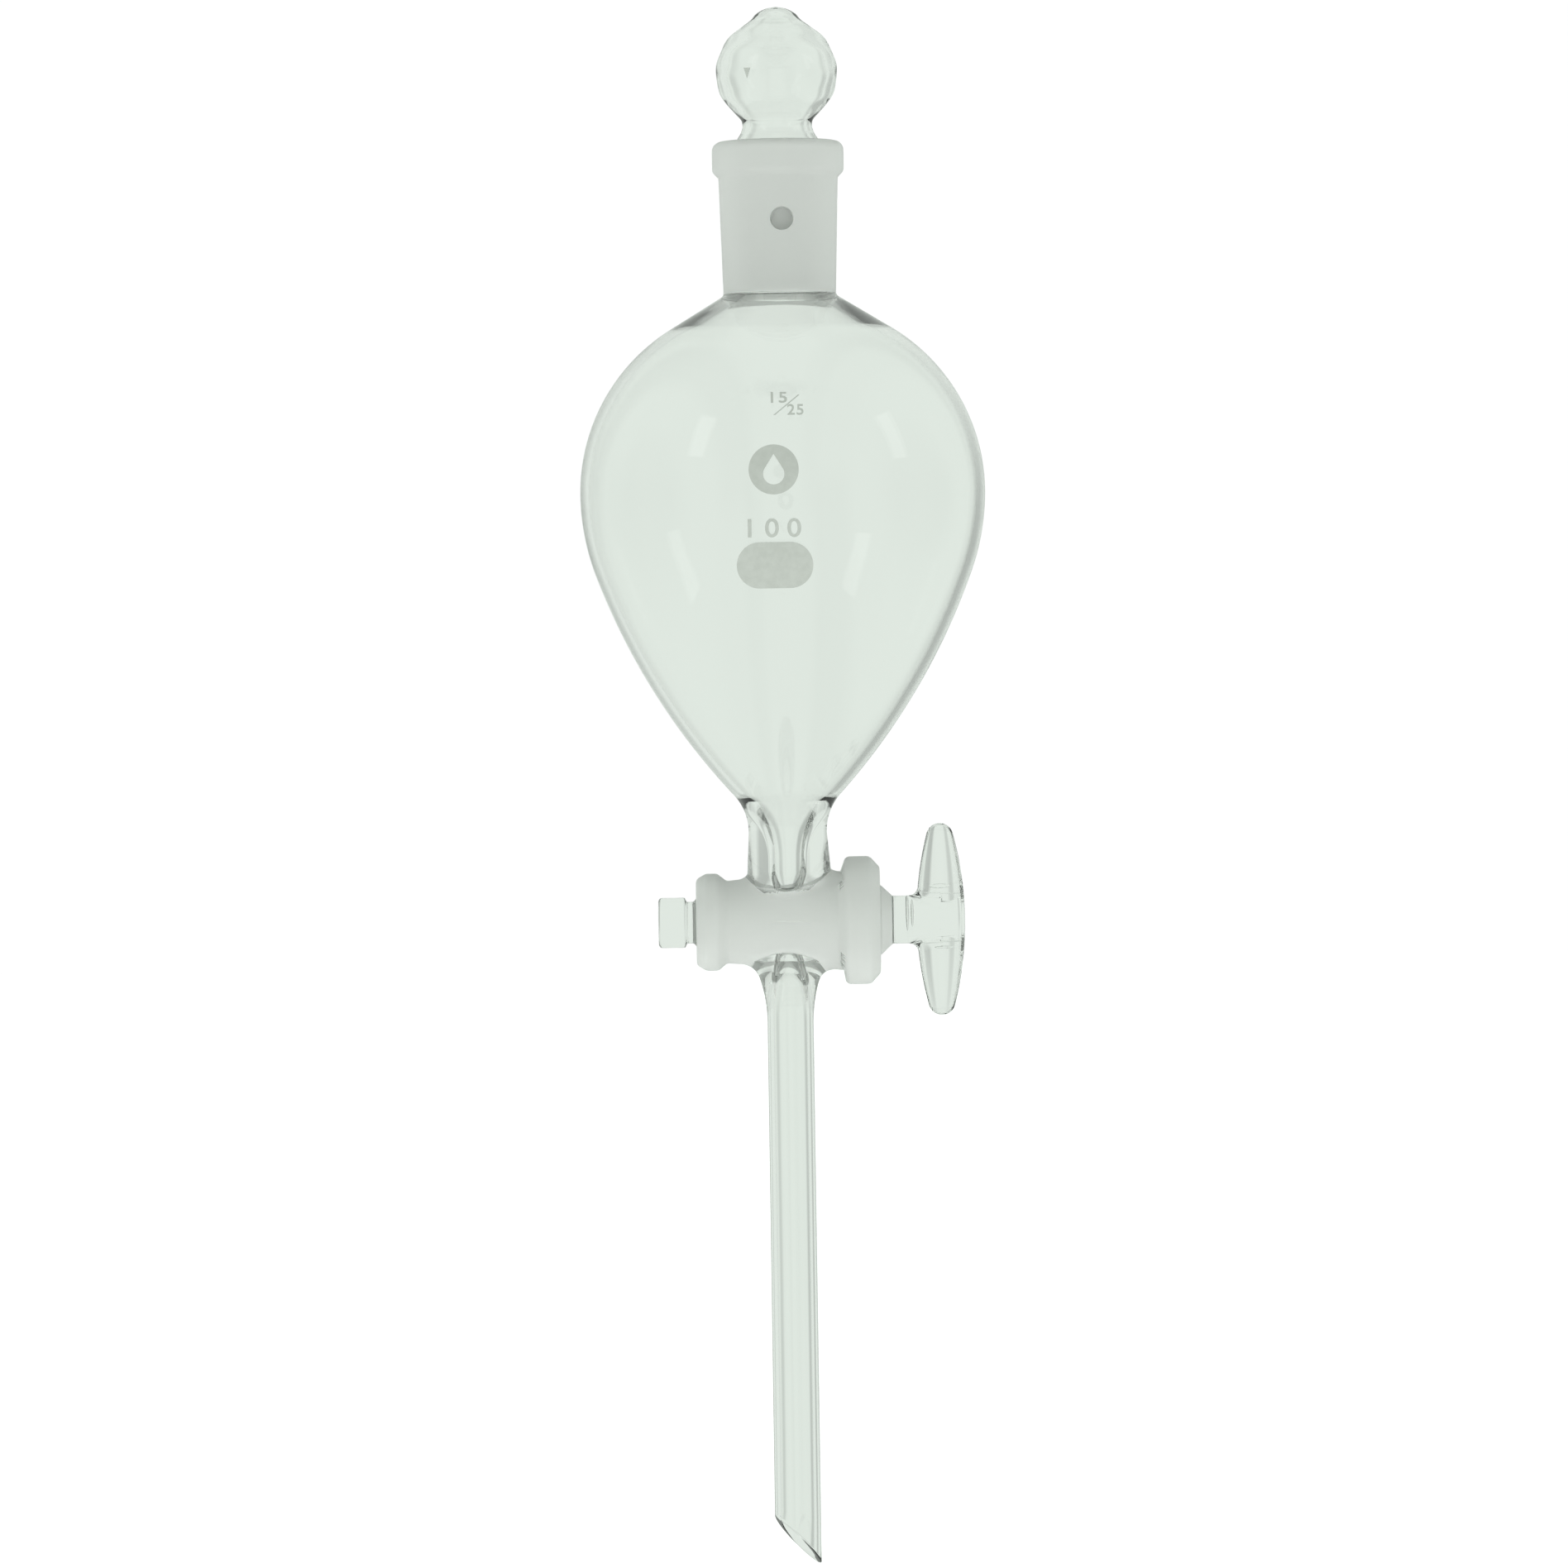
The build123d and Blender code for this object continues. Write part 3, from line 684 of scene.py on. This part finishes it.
def print_on_bulb(name, flat, depth, node, centre_x=MARKS_X):
    """Wraps a flat mesh, drawn about its own centre, onto the bulb's front at a depth below the rim."""
    bm = bmesh.new()
    bm.from_mesh(flat)
    for step in range(-12, 13):
        for normal in ((1, 0, 0), (0, 1, 0)):
            where = Vector(normal) * step * 0.6 * MM
            geometry = [*bm.verts, *bm.edges, *bm.faces]
            bmesh.ops.bisect_plane(bm, geom=geometry, plane_co=where, plane_no=normal, dist=1e-7)
    for vert in bm.verts:
        x, z = centre_x + vert.co.x, rim_z - depth + vert.co.y
        radius = bulb_radius(z) + 0.09 * MM
        vert.co = (x, -math.sqrt(radius**2 - x * x), z)
    bmesh.ops.recalc_face_normals(bm, faces=bm.faces)
    bmesh.ops.solidify(bm, geom=bm.faces[:], thickness=0.06 * MM)
    bmesh.ops.recalc_face_normals(bm, faces=bm.faces)
    piece = to_object(name, bm)
    piece.data.materials.append(enamel)
    shade(piece)
    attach(piece, "funnel")
    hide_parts(node)
    return piece


def lettering(text, height, width, spacing):
    """A flat mesh of numerals of the given height and width, centred on the origin."""
    curve = bpy.data.curves.new("numerals", "FONT")
    curve.body = text
    curve.space_character = spacing
    curve.offset = 0.012
    curve.align_x = "CENTER"
    curve.size = 1.0
    obj = bpy.data.objects.new("numerals", curve)
    bpy.context.scene.collection.objects.link(obj)
    graph = bpy.context.evaluated_depsgraph_get()
    mesh = bpy.data.meshes.new_from_object(obj.evaluated_get(graph))
    bpy.data.objects.remove(obj)
    ys = [v.co.y for v in mesh.vertices]
    tall = height / (max(ys) - min(ys))
    xs = [v.co.x for v in mesh.vertices]
    wide = width / (max(xs) - min(xs))
    middle_x, middle_y = (max(xs) + min(xs)) / 2, (max(ys) + min(ys)) / 2
    for vert in mesh.vertices:
        vert.co = ((vert.co.x - middle_x) * wide, (vert.co.y - middle_y) * tall, 0)
    return mesh


def flat_shape(outlines):
    """A flat mesh of filled outlines; the second and later ones are holes."""
    bm = bmesh.new()
    edges = []
    for outline in outlines:
        verts = [bm.verts.new((x, y, 0)) for x, y in outline]
        edges += [bm.edges.new((a, b)) for a, b in zip(verts, [*verts[1:], verts[0]])]
    bmesh.ops.triangle_fill(bm, use_beauty=True, edges=edges)
    mesh = bpy.data.meshes.new("flat")
    bm.to_mesh(mesh)
    bm.free()
    return mesh


def stadium(wide, high):
    """A bar's outline with round ends."""
    r = high / 2
    reach = wide / 2 - r
    right = [(reach + x, y) for x, y in arc((0, 0), r, -90, 90, 8)]
    return right + [(-reach - x, -y) for x, y in arc((0, 0), r, -90, 90, 8)]


print_on_bulb("print_patch", flat_shape([stadium(12.2 * MM, 7.3 * MM)]), 69.5 * MM, "writing_patch")
print_on_bulb("print_capacity", lettering("100", 3.0 * MM, 8.5 * MM, 1.5), 63.6 * MM, "capacity_mark")
joint_size = bmesh.new()
for text, x, y in (("15", -1.0, 1.1), ("25", 1.6, -0.9)):
    numerals = lettering(text, 1.75 * MM, 2.6 * MM, 1.1)
    for vert in numerals.vertices:
        vert.co += Vector((x * MM, y * MM, 0))
    joint_size.from_mesh(numerals)
STROKE = ((-1.9, -1.75), (-1.65, -1.75), (2.3, 1.5), (2.05, 1.5))
joint_size.from_mesh(flat_shape([[(x * MM, y * MM) for x, y in STROKE]]))
joint_flat = bpy.data.meshes.new("joint_flat")
joint_size.to_mesh(joint_flat)
joint_size.free()
print_on_bulb("print_joint", joint_flat, 43.8 * MM, "joint_mark", 0.6 * MM)
# A plain disc with a drop left clear in it.
drop = [(0, 2.5 * MM), *[(x, y - 0.7 * MM) for x, y in arc((0, 0), 1.7 * MM, 30, -210, 10)]]
print_on_bulb("print_emblem", flat_shape([arc((0, 0), 4.0 * MM, 0, 354, 6), drop]), 54.3 * MM, "emblem")
vent_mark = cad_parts["vent_mark"]
vent_mark.data.materials.clear()
vent_mark.data.materials.append(enamel)

# ---- stage, light and camera --------------------------------------------------------------------
floor_bm = bmesh.new()
bmesh.ops.create_grid(floor_bm, x_segments=8, y_segments=8, size=6)
for vert in floor_bm.verts:
    vert.co.z = tip_z - 12 * MM
floor = to_object("floor", floor_bm)
pale, nodes, links, shader = material("pale_floor")
shader.inputs["Base Color"].default_value = (0.9, 0.9, 0.9, 1)
shader.inputs["Roughness"].default_value = 0.9
shader.inputs["Emission Color"].default_value = (1, 1, 1, 1)
shader.inputs["Emission Strength"].default_value = 0.5
floor.data.materials.append(pale)
# The glass shows the tent below it, not the white floor.
floor.visible_transmission = False
floor.visible_glossy = False

# The funnel stands in a soft grey-green tent, a little dimmer in front. The backdrop seen past it is white.
world = bpy.data.worlds.new("studio")
bpy.context.scene.world = world
world.use_nodes = True
nodes, links = world.node_tree.nodes, world.node_tree.links
coords = nodes.new("ShaderNodeTexCoord")
split = nodes.new("ShaderNodeSeparateXYZ")
links.new(coords.outputs["Generated"], split.inputs[0])


def eased(source, start, end, low, high):
    """A socket that goes smoothly from low to high while the source goes from start to end."""
    node = nodes.new("ShaderNodeMapRange")
    node.interpolation_type = "SMOOTHSTEP"
    for socket, value in (("From Min", start), ("From Max", end), ("To Min", low), ("To Max", high)):
        node.inputs[socket].default_value = value
    links.new(source, node.inputs["Value"])
    return node.outputs["Result"]


front_dim = eased(split.outputs["Y"], -0.6, 0.3, 0.93, 1.0)
# Upright grey panels stand behind on the right and, narrower, on the left, and at the far sides.
across = nodes.new("ShaderNodeMapRange")
across.inputs["From Min"].default_value = -1.0
links.new(split.outputs["X"], across.inputs["Value"])
panels = nodes.new("ShaderNodeValToRGB")
PANELS = (
    (-1.0, 0.8), (-0.93, 0.8), (-0.8, 1.0), (-0.4, 1.0), (-0.32, 0.75), (-0.24, 0.75), (-0.16, 1.0),
    (0.26, 1.0), (0.36, 0.6), (0.56, 0.64), (0.68, 1.0), (0.84, 1.0), (0.95, 0.8),
)
while len(panels.color_ramp.elements) < len(PANELS):
    panels.color_ramp.elements.new(0.5)
for element, (where, level) in zip(panels.color_ramp.elements, PANELS):
    element.position = (where + 1) / 2
    element.color = (level, level, level, 1)
links.new(across.outputs["Result"], panels.inputs["Fac"])
panels_low = eased(split.outputs["Z"], -0.1, 0.35, 1.0, 0.25)
dim = nodes.new("ShaderNodeMix")
dim.inputs[2].default_value = 1.0
links.new(panels_low, dim.inputs[0])
links.new(panels.outputs["Color"], dim.inputs[3])
both = nodes.new("ShaderNodeMath")
both.operation = "MULTIPLY"
links.new(front_dim, both.inputs[0])
links.new(dim.outputs[0], both.inputs[1])
links.new(both.outputs["Value"], nodes["Background"].inputs["Strength"])
nodes["Background"].inputs["Color"].default_value = (0.755, 0.81, 0.76, 1)
backdrop = nodes.new("ShaderNodeBackground")
backdrop.inputs["Color"].default_value = (1, 1, 1, 1)
backdrop.inputs["Strength"].default_value = 1.02
rays = nodes.new("ShaderNodeLightPath")
choice = nodes.new("ShaderNodeMixShader")
links.new(rays.outputs["Is Camera Ray"], choice.inputs["Fac"])
links.new(nodes["Background"].outputs["Background"], choice.inputs[1])
links.new(backdrop.outputs["Background"], choice.inputs[2])
links.new(choice.outputs["Shader"], nodes["World Output"].inputs["Surface"])


def area_light(name, place, aim, size, power):
    """A soft rectangular light at a place, turned to an aim; size in metres, power in watts."""
    data = bpy.data.lights.new(name, "AREA")
    data.shape = "RECTANGLE"
    data.size, data.size_y = size
    data.energy = power
    light = bpy.data.objects.new(name, data)
    light.location = place
    light.rotation_euler = (Vector(aim) - Vector(place)).to_track_quat("-Z", "Y").to_euler()
    bpy.context.scene.collection.objects.link(light)


area_light("key_light", (-1.2, -0.92, 0.9), (0, 0, 0), (0.3, 0.7), 0.4)
area_light("fill_light", (1.5, -0.45, 0.8), (0, 0, 0), (0.3, 0.7), 0.35)

camera_data = bpy.data.cameras.new("camera")
camera = bpy.data.objects.new("camera", camera_data)
bpy.context.scene.collection.objects.link(camera)
bpy.context.scene.camera = camera
DISTANCE = 1.6
VIEW_WIDTH = 0.2548
camera_data.sensor_width = 36
camera_data.lens = 36 * DISTANCE / VIEW_WIDTH
camera_data.clip_start = 0.05
camera_data.clip_end = 30
camera.location = (-0.5 * MM, -DISTANCE, rim_z - 104.4 * MM)
camera.rotation_euler = (math.radians(90), math.radians(0.86), 0)
bpy.context.scene.view_settings.view_transform = "Standard"
